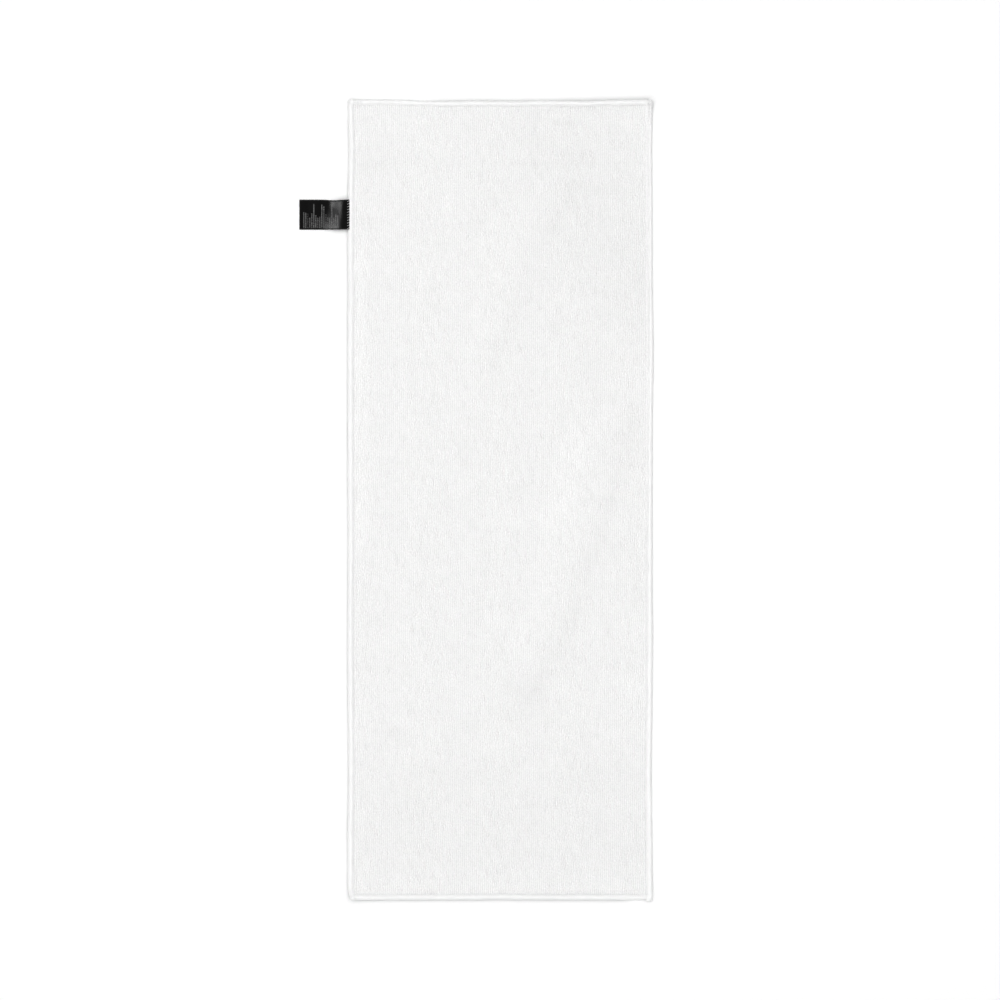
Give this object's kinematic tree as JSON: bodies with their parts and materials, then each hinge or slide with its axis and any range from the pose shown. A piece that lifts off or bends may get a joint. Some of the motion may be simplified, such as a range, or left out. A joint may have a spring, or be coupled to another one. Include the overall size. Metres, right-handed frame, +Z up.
{
  "type": "golf towel",
  "caption": "Long rectangular terry golf towel with turned and stitched hems and a dark satin care label that folds at the edge.",
  "frame": {"origin": "centre of the towel's underside, which is its front face, where it lies on a surface", "axes": "+Z up out of the pile side, +Y along the towel's length towards the end that the care label is nearer to, and the care label stands out of the -X edge"},
  "size_m": [0.44, 1, 0.0042],
  "materials": {
    "terry": "matt looped pile",
    "hem_cloth": "smooth short nap",
    "seam_thread": "twisted, low sheen",
    "label_satin": "satin weave",
    "label_thread": "twisted, low sheen"
  },
  "bodies": {
    "towel": {"terry_panel": "terry", "left_hem": "hem_cloth", "right_hem": "hem_cloth", "top_hem": "hem_cloth", "bottom_hem": "hem_cloth", "left_needle_thread": "seam_thread", "right_needle_thread": "seam_thread", "top_needle_thread": "seam_thread", "bottom_needle_thread": "seam_thread", "left_bobbin_thread": "seam_thread", "right_bobbin_thread": "seam_thread", "top_bobbin_thread": "seam_thread", "bottom_bobbin_thread": "seam_thread", "care_label_tail": "label_satin", "label_stitches": "label_thread"},
    "care_label": {"care_label_leaf": "label_satin"}
  },
  "joints": [
    {"name": "label_flap", "type": "hinge", "parent": "towel", "child": "care_label", "pos_m": [-0.19035, 0.355, 0.0044], "axis": [0, 1, 0], "range_deg": [0, 175]}
  ]
}
